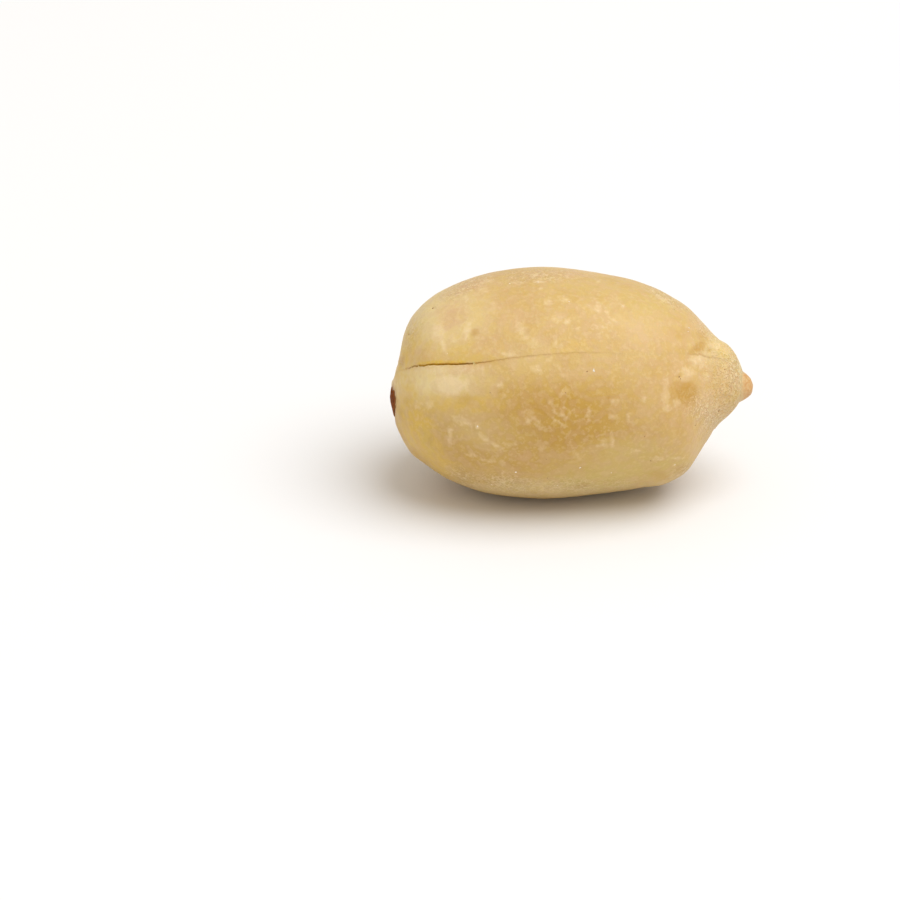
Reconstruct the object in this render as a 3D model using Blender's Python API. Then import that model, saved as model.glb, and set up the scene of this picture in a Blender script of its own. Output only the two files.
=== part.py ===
"""A roasted, blanched peanut kernel at its real size, lying on its side on a small flat.

Two seed halves meet at a seam, the germ lies between them with its root tip standing out of the pointed end,
and a scrap of skin clings to the blunt end. Lengths are in millimetres until each mesh is made.

The kernel's own frame has X along its length, with the root tip at +X, and Z square to the seam, towards
the upper half. Everything is shaped in that frame, rolled onto its side and then set down on the floor.
"""

import math

import bmesh
import bpy
import numpy as np
from mathutils import Matrix, Vector

METRES = 0.001

# The whole kernel
BLUNT_END = -7.5
BLUNT_MIDDLE = -4.0
HALVES_END = 7.15
ROLL = math.radians(-38.0)
REST_DEPTH = 0.15

# Place along the length, half height above and below the axis, and half width along the seam
SECTIONS = (
    (-7.1, 1.52, 1.97, 1.85),
    (-6.7, 2.62, 2.72, 2.60),
    (-6.3, 3.15, 3.08, 3.20),
    (-5.0, 4.05, 3.93, 4.15),
    (-3.4, 4.62, 4.47, 4.70),
    (-1.1, 4.88, 4.69, 4.92),
    (1.2, 4.64, 4.46, 4.70),
    (2.9, 4.25, 4.22, 4.30),
    (4.1, 3.67, 4.00, 3.80),
    (4.9, 3.12, 3.42, 3.20),
    (5.5, 2.50, 2.47, 2.50),
    (6.1, 1.90, 1.60, 1.80),
    (6.6, 1.50, 1.15, 1.35),
)

# Place along the length, and how far the seam's edge lies above the axis
SEAM_HEIGHTS = (
    (-7.5, 0.22),
    (-5.8, 0.02),
    (-4.0, -0.14),
    (-2.4, 0.03),
    (0.5, 0.25),
    (3.2, 0.31),
    (4.9, 0.57),
    (6.1, 0.70),
    (7.15, 0.80),
)
STEEPEST_SEAM = 0.75
ROUND_END_HEIGHT = 1.2

# The seam and the inner faces
SEAM_GAP = 0.10
LIP_DEPTH = 0.14
LIP_REACH = 0.22
FULL_LIP_WIDTH = 1.5
DISH_DEPTH = 0.45
DISH_LAND = 0.28

# Swellings and hollows: place along, angle up from the near seam edge, reach along and around, and height
SWELLINGS = (
    (5.9, 45.0, 0.80, 0.60, 0.12),
    (4.3, -40.0, 1.20, 1.20, 0.05),
    (1.8, 58.0, 1.60, 1.50, -0.08),
    (-4.4, 48.0, 1.30, 1.40, 0.07),
    (-5.3, -38.0, 1.00, 1.20, -0.09),
    (-0.6, -30.0, 1.80, 1.10, 0.07),
    (3.2, 130.0, 1.50, 1.30, -0.08),
    (-2.6, 118.0, 1.60, 1.40, 0.08),
    (-2.0, -128.0, 1.70, 1.40, -0.07),
    (2.4, -118.0, 1.50, 1.20, 0.07),
)

# The germ: place along the length, radius, and height of its middle above the axis
GERM_TIP = 7.5
GERM_INNER_END = 2.7
GERM_SECTIONS = (
    (3.1, 0.42, 0.33),
    (3.7, 0.60, 0.38),
    (4.5, 0.78, 0.44),
    (5.3, 0.82, 0.36),
    (6.0, 0.72, 0.08),
    (6.5, 0.60, -0.08),
    (7.0, 0.56, -0.12),
    (7.3, 0.46, -0.12),
)
GERM_CLEARANCE = 0.08

# The scrap of skin on the blunt end, in the lower half
SCRAP_DROP = 0.76
SCRAP_SIDE = -0.12
SCRAP_HEIGHT = 1.15
SCRAP_WIDTH = 0.80
SCRAP_THICKNESS = 0.13
SCRAP_GAP = 0.03

# Mesh density: cuts along a cube's edge, and how much closer the vertices stand near the seam
HALF_CUTS = 19
GERM_CUTS = 9
SCRAP_CUTS = 5
RIM_CROWDING = 1.4
SHARP_ANGLE = math.radians(50)

HALF_ROUGHNESS = 0.5
GERM_ROUGHNESS = 0.45
SKIN_ROUGHNESS = 0.55
UPPER_COLOUR = (0.78, 0.56, 0.27)
LOWER_COLOUR = (0.66, 0.44, 0.18)
GERM_COLOUR = (0.55, 0.27, 0.07)
SKIN_COLOUR = (0.16, 0.045, 0.015)


def clear_scene():
    for item in list(bpy.data.objects):
        bpy.data.objects.remove(item, do_unlink=True)


def material(name, colour, roughness):
    made = bpy.data.materials.new(name)
    made.use_nodes = True
    shader = made.node_tree.nodes["Principled BSDF"]
    shader.inputs["Base Color"].default_value = (*colour, 1.0)
    shader.inputs["Roughness"].default_value = roughness
    shader.inputs["Metallic"].default_value = 0.0
    return made


def smooth_curve(x, places, values):
    """A smooth curve through the values, level beyond the first and the last place."""
    places = np.asarray(places, float)
    values = np.asarray(values, float)
    slopes = np.gradient(values, places)
    slopes[0] = slopes[-1] = 0.0
    x = np.clip(x, places[0], places[-1])
    left = np.clip(np.searchsorted(places, x, side="right") - 1, 0, len(places) - 2)
    span = places[left + 1] - places[left]
    t = (x - places[left]) / span
    start = (1 + 2 * t) * (1 - t) ** 2 * values[left] + t * (1 - t) ** 2 * span * slopes[left]
    finish = t * t * (3 - 2 * t) * values[left + 1] - t * t * (1 - t) * span * slopes[left + 1]
    return start + finish


def end_round(x, first, last):
    """1 in the middle of the stretch, falling to 0 at both ends as an ellipse does."""
    middle = (first + last) / 2
    reach = (last - first) / 2
    return np.sqrt(np.clip(1 - ((x - middle) / reach) ** 2, 0, 1))


def rounded_profile(x, rows, column, first, last):
    """The size in that column of the rows, closed off round at both ends."""
    table = np.array(rows)
    fullness = table[:, column] / end_round(table[:, 0], first, last)
    return smooth_curve(x, table[:, 0], fullness) * end_round(x, first, last)


def half_heights(x):
    above = rounded_profile(x, SECTIONS, 1, BLUNT_END, HALVES_END)
    below = rounded_profile(x, SECTIONS, 2, BLUNT_END, HALVES_END)
    return above, below


def half_width(x):
    return rounded_profile(x, SECTIONS, 3, BLUNT_END, HALVES_END)


def seam_height(x):
    """The height of the seam's edge. It stays on the kernel where the pointed end closes over it."""
    places, heights = np.array(SEAM_HEIGHTS).T
    return np.minimum(smooth_curve(x, places, heights), STEEPEST_SEAM * half_heights(x)[0])


def seam_angle(x):
    above, below = half_heights(x)
    height = seam_height(x)
    reach = np.where(height > 0, above, below)
    return np.arcsin(np.clip(height / np.maximum(reach, 1e-6), -STEEPEST_SEAM, STEEPEST_SEAM))


def along(direction_x):
    return (BLUNT_END + HALVES_END) / 2 + direction_x * (HALVES_END - BLUNT_END) / 2


def swelling(x, angle, side_sign):
    """How far the named swellings and hollows lift the surface. The angle is in degrees from the near edge."""
    around = np.where(side_sign > 0, np.sign(angle + 1e-9) * 180 - angle, angle)
    lift = np.zeros_like(x)
    for place, turn, reach_along, reach_around, height in SWELLINGS:
        turned = (around - turn + 180) % 360 - 180
        arc = np.radians(turned) * half_width(x)
        lift += height * np.exp(-(((x - place) / reach_along) ** 2) - (arc / reach_around) ** 2)
    return lift


def outside(x, angle, side_sign):
    """Points on the kernel's outside, at these angles up from the seam plane, on the near or the far side."""
    above, below = half_heights(x)
    height = np.where(angle > 0, above, below)
    lift = swelling(x, np.degrees(angle), side_sign) * np.clip(height / ROUND_END_HEIGHT, 0, 1)
    y = side_sign * (half_width(x) + lift) * np.cos(angle)
    z = (height + lift) * np.sin(angle)
    return np.stack([x, y, z], axis=1)


def half_surface(directions, upward):
    """Unit directions to points on one seed half: its outside, its rounded lip and its dished inner face."""
    x = along(directions[:, 0])
    across = np.hypot(directions[:, 1], directions[:, 2])
    side_sign = np.where(directions[:, 1] > 0, 1.0, -1.0)
    turn = np.arctan2(upward * directions[:, 2], np.abs(directions[:, 1])) / (math.pi / 2)
    turn = np.where(across < 1e-6, 0.0, turn)
    turn = np.sign(turn) * np.abs(turn) ** RIM_CROWDING
    edge = seam_angle(x)
    outer_turn = np.clip(turn, 0, 1)
    angle = edge + (upward * math.pi / 2 - edge) * outer_turn
    points = outside(x, angle, side_sign)
    # The lip leans in towards the seam.
    above_seam = np.abs(points[:, 2] - seam_height(x))
    lip = LIP_DEPTH * np.exp(-((above_seam / LIP_REACH) ** 2)) * np.clip(half_width(x) / FULL_LIP_WIDTH, 0, 1)
    points[:, 1] -= side_sign * np.minimum(lip, np.abs(points[:, 1]) * 0.5)
    # The inner face runs from one lip to the other and is dished between them.
    inner_part = np.cos(np.clip(-turn, 0, 1) * math.pi / 2)
    points[:, 1] *= np.where(turn < 0, inner_part, 1.0)
    ends = end_round(x, BLUNT_END, HALVES_END)
    from_rim = 1 - np.sqrt(np.clip(inner_part**2 * ends**2 + 1 - ends**2, 0, 1))
    dish = np.clip(from_rim / DISH_LAND, 0, 1)
    dish = DISH_DEPTH * dish * dish * (3 - 2 * dish)
    points[:, 2] += upward * np.where(turn < 0, dish, 0.0)
    # Each half stands back from the seam by half the gap, and less so towards its pole.
    rise = np.where(turn < 0, 1.0, np.cos(outer_turn * math.pi / 2))
    points[:, 2] += upward * SEAM_GAP / 2 * rise
    return points


def ball(cuts):
    """A cube cut into even squares. Its vertices are used as directions, so it stands for a round ball."""
    mesh = bmesh.new()
    bmesh.ops.create_cube(mesh, size=2.0)
    bmesh.ops.subdivide_edges(mesh, edges=mesh.edges[:], cuts=cuts, use_grid_fill=True)
    return mesh


def directions_of(mesh):
    """Unit directions of a cut cube's vertices, spread evenly over the ball."""
    found = np.tan(np.array([vertex.co[:] for vertex in mesh.verts]) * math.pi / 4)
    return found / np.linalg.norm(found, axis=1, keepdims=True)


def place_vertices(mesh, points):
    for vertex, point in zip(mesh.verts, points):
        vertex.co = Vector(point)


def add_object(name, mesh, colour, roughness):
    """Rolls the mesh onto its side and makes it an object, in metres."""
    bmesh.ops.transform(mesh, matrix=Matrix.Rotation(ROLL, 4, "X"), verts=mesh.verts)
    bmesh.ops.scale(mesh, vec=Vector((METRES, METRES, METRES)), verts=mesh.verts)
    bmesh.ops.recalc_face_normals(mesh, faces=mesh.faces)
    data = bpy.data.meshes.new(name)
    mesh.to_mesh(data)
    mesh.free()
    data.shade_smooth()
    data.set_sharp_from_angle(angle=SHARP_ANGLE)
    data.materials.append(material(name, colour, roughness))
    made = bpy.data.objects.new(name, data)
    bpy.context.scene.collection.objects.link(made)
    return made


def seed_half(name, upward, colour):
    mesh = ball(HALF_CUTS)
    place_vertices(mesh, half_surface(directions_of(mesh), upward))
    return add_object(name, mesh, colour, HALF_ROUGHNESS)


def germ_mesh(growth):
    """The germ, or with growth the room that it takes up in both halves."""
    mesh = ball(GERM_CUTS)
    directions = directions_of(mesh)
    first = GERM_INNER_END - growth
    last = GERM_TIP + growth
    x = (first + last) / 2 + directions[:, 0] * (last - first) / 2
    radius = rounded_profile(x, GERM_SECTIONS, 1, GERM_INNER_END, GERM_TIP)
    radius = np.where((x < GERM_INNER_END) | (x > GERM_TIP), 0.0, radius) + growth * end_round(x, first, last)
    across = np.maximum(np.hypot(directions[:, 1], directions[:, 2]), 1e-9)
    places, _, middles = np.array(GERM_SECTIONS).T
    y = radius * directions[:, 1] / across
    z = radius * directions[:, 2] / across + smooth_curve(x, places, middles)
    place_vertices(mesh, np.stack([x, y, z], axis=1))
    return mesh


def cut_seat(target, cutter):
    seat = target.modifiers.new("seat", "BOOLEAN")
    seat.operation = "DIFFERENCE"
    seat.object = cutter


def skin_scrap():
    """A thin lens of skin that follows the blunt end's surface."""
    mesh = ball(SCRAP_CUTS)
    disc = directions_of(mesh)
    y = SCRAP_SIDE + disc[:, 0] * SCRAP_WIDTH / 2
    z = -SCRAP_DROP + disc[:, 1] * SCRAP_HEIGHT / 2
    reach = np.hypot(y / half_width(BLUNT_MIDDLE), z / half_heights(BLUNT_MIDDLE)[1])
    along_direction = -np.sqrt(1 - (reach * end_round(BLUNT_MIDDLE, BLUNT_END, HALVES_END)) ** 2)
    skin = outside(along(along_direction), np.arctan2(z, np.abs(y)), np.where(y > 0, 1.0, -1.0))
    outward = skin - np.array([BLUNT_MIDDLE, 0.0, 0.0])
    outward /= np.linalg.norm(outward, axis=1, keepdims=True)
    lift = SCRAP_GAP + SCRAP_THICKNESS * np.clip(disc[:, 2], 0, 1)
    place_vertices(mesh, skin + outward * lift[:, None])
    return add_object("skin_scrap", mesh, SKIN_COLOUR, SKIN_ROUGHNESS)


def world_box(items):
    corners = [item.matrix_world @ vertex.co for item in items for vertex in item.data.vertices]
    points = np.array([corner[:] for corner in corners])
    return points.min(axis=0), points.max(axis=0)


def level_base(item, floor):
    """Cuts the small flat that the kernel rests on."""
    mesh = bmesh.new()
    mesh.from_mesh(item.data)
    everything = mesh.verts[:] + mesh.edges[:] + mesh.faces[:]
    plane = Vector((0, 0, floor))
    cut_result = bmesh.ops.bisect_plane(
        mesh, geom=everything, plane_co=plane, plane_no=Vector((0, 0, -1)), clear_outer=True
    )
    rim = [piece for piece in cut_result["geom_cut"] if isinstance(piece, bmesh.types.BMEdge)]
    bmesh.ops.holes_fill(mesh, edges=rim)
    mesh.to_mesh(item.data)
    mesh.free()


def set_down(items, helpers):
    """Moves everything together so that the whole rests on the floor with its box centred on the origin."""
    low, high = world_box(items)
    shift = Vector((-(low[0] + high[0]) / 2, -(low[1] + high[1]) / 2, -low[2]))
    for item in items + helpers:
        item.location += shift


def build():
    clear_scene()
    upper = seed_half("seed_half_upper", 1, UPPER_COLOUR)
    lower = seed_half("seed_half_lower", -1, LOWER_COLOUR)
    germ = add_object("germ", germ_mesh(0.0), GERM_COLOUR, GERM_ROUGHNESS)
    scrap = skin_scrap()
    cutter = add_object("germ_seat", germ_mesh(GERM_CLEARANCE), GERM_COLOUR, GERM_ROUGHNESS)
    cutter.hide_render = True
    cutter.display_type = "WIRE"
    lowest = world_box([lower])[0][2]
    level_base(lower, lowest + REST_DEPTH * METRES)
    cut_seat(upper, cutter)
    cut_seat(lower, cutter)
    set_down([upper, lower, germ, scrap], [cutter])


build()
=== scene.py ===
"""The looks of a roasted, blanched peanut kernel: two seed halves, the germ's root tip and a scrap of skin.

Shapes are worked out in millimetres in the kernel's own frame, with X along its length towards the root tip
and Z square to the seam. The kernel lies rolled onto its side, and points are moved into the CAD frame when
their mesh is finished. Marks are placed by how far along the kernel and how far up they lie, as seen square
on from one side: the side that faces the camera, or the same side after a turn about the kernel's length.
"""

import math
import random

import bmesh
import bpy
import numpy as np
from mathutils import Matrix, Vector, noise


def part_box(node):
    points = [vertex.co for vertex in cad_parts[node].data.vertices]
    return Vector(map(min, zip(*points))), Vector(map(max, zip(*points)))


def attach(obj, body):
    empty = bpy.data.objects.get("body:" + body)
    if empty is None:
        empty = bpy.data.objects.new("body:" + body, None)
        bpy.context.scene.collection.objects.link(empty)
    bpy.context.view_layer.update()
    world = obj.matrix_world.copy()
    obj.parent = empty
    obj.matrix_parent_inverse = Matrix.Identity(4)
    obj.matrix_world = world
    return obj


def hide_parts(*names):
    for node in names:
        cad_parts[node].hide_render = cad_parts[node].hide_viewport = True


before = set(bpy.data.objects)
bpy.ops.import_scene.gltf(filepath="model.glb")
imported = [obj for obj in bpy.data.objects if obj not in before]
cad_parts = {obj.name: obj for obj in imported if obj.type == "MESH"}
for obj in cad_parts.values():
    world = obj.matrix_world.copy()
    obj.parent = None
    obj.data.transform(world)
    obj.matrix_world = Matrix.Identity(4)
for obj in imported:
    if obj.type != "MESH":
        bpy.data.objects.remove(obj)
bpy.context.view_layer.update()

# Metres in a millimetre, millimetres in a metre, and the least that anything is divided by
METRES = 0.001
MM = 1000.0
TINY = 1e-6

# The ends of the seed halves along the length, and how far the kernel lies rolled about it
BLUNT_END = -7.435
HALVES_END = 7.15
ROLL = math.radians(-38.0)

# Place along, half height above and below the axis, and half width: as in the CAD source, with finer ends
SECTIONS = (
    (-7.35, 0.05, 1.02, 1.0),
    (-7.27, 0.41, 1.57, 1.35),
    (-7.18, 0.8, 1.84, 1.6),
    (-7.08, 1.22, 2.06, 1.85),
    (-6.98, 1.81, 2.27, 2.05),
    (-6.84, 2.31, 2.5, 2.35),
    (-6.7, 2.62, 2.72, 2.6),
    (-6.3, 3.15, 3.08, 3.2),
    (-5.0, 4.05, 3.93, 4.15),
    (-3.4, 4.62, 4.47, 4.7),
    (-1.1, 4.88, 4.69, 4.92),
    (1.2, 4.64, 4.46, 4.7),
    (2.9, 4.25, 4.22, 4.3),
    (4.1, 3.67, 4.0, 3.8),
    (4.9, 3.12, 3.42, 3.2),
    (5.5, 2.5, 2.47, 2.5),
    (6.1, 1.9, 1.6, 1.8),
    (6.6, 1.5, 1.15, 1.35),
)
ABOVE, BELOW, WIDTH = range(1, 4)

# Place along, and how far the seam's edge lies above the axis
SEAM_HEIGHTS = (
    (-7.5, 0.17),
    (-5.8, -0.04),
    (-4.0, -0.19),
    (-2.4, -0.03),
    (0.5, 0.2),
    (3.2, 0.27),
    (4.9, 0.55),
    (6.1, 0.7),
    (7.15, 0.8),
)

# Waves that make the seam's edge waver: strength, pace and shift
SEAM_WAVES = (
    (1.0, 9.7, 1.0),
    (0.7, 23.0, 0.0),
    (0.5, 41.0, 2.0),
)

# The share of the kernel's height within which the seam's edge stays
STEEPEST_SEAM = 0.75

# Swellings and hollows: place along, angle up from the near seam edge, reach along and around, and height
SWELLINGS = (
    (5.9, 45.0, 0.8, 0.6, 0.12),
    (4.3, -40.0, 1.2, 1.2, 0.05),
    (1.8, 58.0, 1.6, 1.5, -0.08),
    (-4.4, 48.0, 1.3, 1.4, 0.07),
    (-5.3, -38.0, 1.0, 1.2, -0.09),
    (-0.6, -30.0, 1.8, 1.1, 0.07),
    (3.2, 130.0, 1.5, 1.3, -0.08),
    (-2.6, 118.0, 1.6, 1.4, 0.08),
    (-2.0, -128.0, 1.7, 1.4, -0.07),
    (2.4, -118.0, 1.5, 1.2, 0.07),
)

# Swellings and hollows fade where the kernel is less high than this
FULL_SWELL_HEIGHT = 1.2

# Seam lips: place along, half the gap, rounding above and below, the lower lip's rise, rags, and how
# strongly the seam is painted with a brown line of shade
SEAM_LIPS = (
    (-7.1, 0.0001, 0.002, 0.002, 0.0, 0.01, 0.1),
    (-6.8, 0.001, 0.01, 0.01, 0.004, 0.016, 0.3),
    (-6.5, 0.02, 0.034, 0.024, 0.018, 0.018, 0.34),
    (-6.25, 0.03, 0.045, 0.03, 0.024, 0.014, 0.35),
    (-5.8, 0.034, 0.05, 0.035, 0.03, 0.009, 0.3),
    (-5.2, 0.035, 0.05, 0.04, 0.035, 0.007, 0.3),
    (-4.5, 0.029, 0.05, 0.04, 0.03, 0.006, 0.4),
    (-3.95, 0.005, 0.036, 0.03, 0.02, 0.006, 0.46),
    (-3.0, 0.0004, 0.012, 0.01, 0.006, 0.008, 0.3),
    (-1.5, 0.0002, 0.007, 0.007, 0.003, 0.008, 0.22),
    (0.5, 0.0001, 0.004, 0.004, 0.0, 0.008, 0.18),
    (1.5, 0.0001, 0.002, 0.002, 0.0, 0.008, 0.08),
    (2.4, 0.0001, 0.001, 0.001, 0.0, 0.008, 0.02),
    (4.6, 0.0001, 0.001, 0.001, 0.0, 0.012, 0.0),
    (5.1, 0.0001, 0.004, 0.003, -0.002, 0.024, 0.4),
    (5.7, 0.0001, 0.004, 0.003, -0.003, 0.026, 0.34),
    (6.3, 0.0001, 0.001, 0.001, -0.001, 0.02, 0.1),
    (6.8, 0.0001, 0.001, 0.001, 0.0, 0.016, 0.0),
)
GAP, UPPER_LIP, LOWER_LIP, PROUD, RAGGED, SEAM_SHADE = range(1, 7)

# The far side's share of all this, how far the proud lip reaches, and the most that a lip rounds off
FAR_SEAM_SHARE = 0.45
PROUD_REACH = 0.35
MOST_ROUNDED = 0.5

# Behind the lips the gap closes by this share, between these distances inside
GAP_CLOSES = 0.9
GAP_CLOSES_BETWEEN = (0.04, 0.1)

# The dish of the inner faces: its depth, and how far from the rim it is full
DISH_DEPTH = 0.45
DISH_LAND = 0.28

# The germ: place along, radius, and height of its middle above the axis
GERM_TIP = 7.5
GERM_INNER_END = 2.7
GERM_SECTIONS = (
    (3.1, 0.42, 0.33),
    (3.7, 0.6, 0.38),
    (4.5, 0.78, 0.44),
    (5.3, 0.82, 0.36),
    (6.0, 0.72, 0.08),
    (6.5, 0.64, -0.05),
    (6.9, 0.7, -0.04),
    (7.05, 0.63, -0.04),
    (7.2, 0.53, -0.05),
    (7.35, 0.41, -0.06),
    (7.44, 0.28, -0.07),
)
GERM_RADIUS = 1
GERM_CLEARANCE = 0.005

# The germ is hidden up to here and shows in full from here, and its pale collar fades between these. The
# collar is partly painted light over the shade of the crease where the germ leaves the halves.
GERM_HIDDEN = 6.9
GERM_SHOWN = 7.2
ROOT_COLLAR = (7.02, 7.22)

# The scrap of skin: its middle from the axis, its size, how far it stands off, swells and curls
SCRAP_DROP = 0.76
SCRAP_SIDE = -0.48
SCRAP_HEIGHT = 1.02
SCRAP_WIDTH = 1.46
SCRAP_THICKNESS = 0.035
SCRAP_GAP = 0.012
SCRAP_SWELL = 0.05
SCRAP_CURL = 0.03

# The shares of its reach between which it turns paler towards its edge
SCRAP_PALE_EDGE = (0.82, 1.0)

# Its tears: angle around it in degrees, breadth in radians, and depth. The last is a tail.
SCRAP_TEARS = (
    (126.0, 0.2, 0.42),
    (72.0, 0.07, 0.1),
    (30.0, 0.14, 0.18),
    (-22.0, 0.07, 0.09),
    (170.0, 0.09, 0.12),
    (-140.0, 0.08, 0.1),
    (-75.0, 0.42, -0.32),
)

# Places on the blunt end are sought between these two, by halving
NOSE = BLUNT_END + 0.001
BLUNT_MIDDLE = -4.0
HALVINGS = 30

# The thin brown ring round the scrap: strength, raggedness, fade in scrap sizes, distance from the middle
RESIDUE = 0.6
RESIDUE_RAGGED = 0.2
RESIDUE_FADES = (0.9, 1.5)
RESIDUE_BEGINS = (6.0, 6.8)

# Patterns of relief: height, or 1 for a share, size of the features, octaves and seed
SOFT_SWELLS = (0.018, 2.0, 2, 3.1)
SMALL_SWELLS = (0.007, 0.6, 3, 7.7)
CRUST = (0.007, 0.17, 2, 2.9)
RAGGED_EDGES = (1.0, 0.22, 3, 9.1)
TIP_FOLDS = (1.0, 0.16, 3, 5.5)
GERM_FOLDS = (0.014, 0.35, 3, 1.3)
GERM_GRAIN = (0.01, 0.14, 2, 4.2)
COLLAR_WAVES = (0.07, 0.2, 2, 2.2)
SCRAP_WAVES = (0.1, 0.7, 2, 6.2)
SCRAP_TEETH = (0.05, 0.16, 2, 5.1)
SCRAP_CURLS = (1.0, 0.4, 2, 8.0)
SCRAP_WRINKLES = (0.016, 0.3, 3, 8.8)

# Folds: their pace along the tip and along the germ, and the height and the beginning of the tip's
TIP_FOLD_PACE = 0.16
GERM_FOLD_PACE = 0.5
TIP_FOLD_HEIGHT = 0.01
TIP_FOLDS_BEGIN = (4.6, 6.0)

# How far pale marks stand out and amber ones lie in, and how far inside the rim relief fades
PALE_RELIEF = 0.008
AMBER_RELIEF = 0.003
RELIEF_FADES = 0.15

# Mesh density: cuts along a cube's edge, and the angle past which an edge stays sharp
HALF_CUTS = 123
GERM_CUTS = 49
SEAT_CUTS = 19
SCRAP_CUTS = 31
SHARP_ANGLE = math.radians(50.0)

# The seam's rim: its row of the cube, from the bottom, how much rows crowd towards it, and what snaps to it
RIM_ROW = 12
RIM_CROWDING = 1.25
RIM_SNAP = 1e-5

# The step over which the form's slope is taken, and the least half size there
SLOPE_STEP = 0.02
THINNEST = 0.05

# Marks: half breadth of the finest and of a broad one, raggedness, what a broad one adds to it, and fade
FINEST_MARK = 0.07
BROAD_MARK = 0.2
MARK_RAGGED = 0.12
BROAD_RAGGED = 0.23
MARK_FADES = (0.1, 1.7)

# A mark is gone its half length and this far behind the kernel's outline, and full this far before it
BEHIND_OUTLINE = -0.6
BEFORE_OUTLINE = 0.2

# Marks strewn on the far side: places along, tilt, turns about the kernel, and the greatest strength
FAR_PLACES = (-6.9, 6.6)
FAR_TILT = 30
FAR_TURNS = (100, 260)
STRONGEST_FAR_MARK = 0.6
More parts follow.
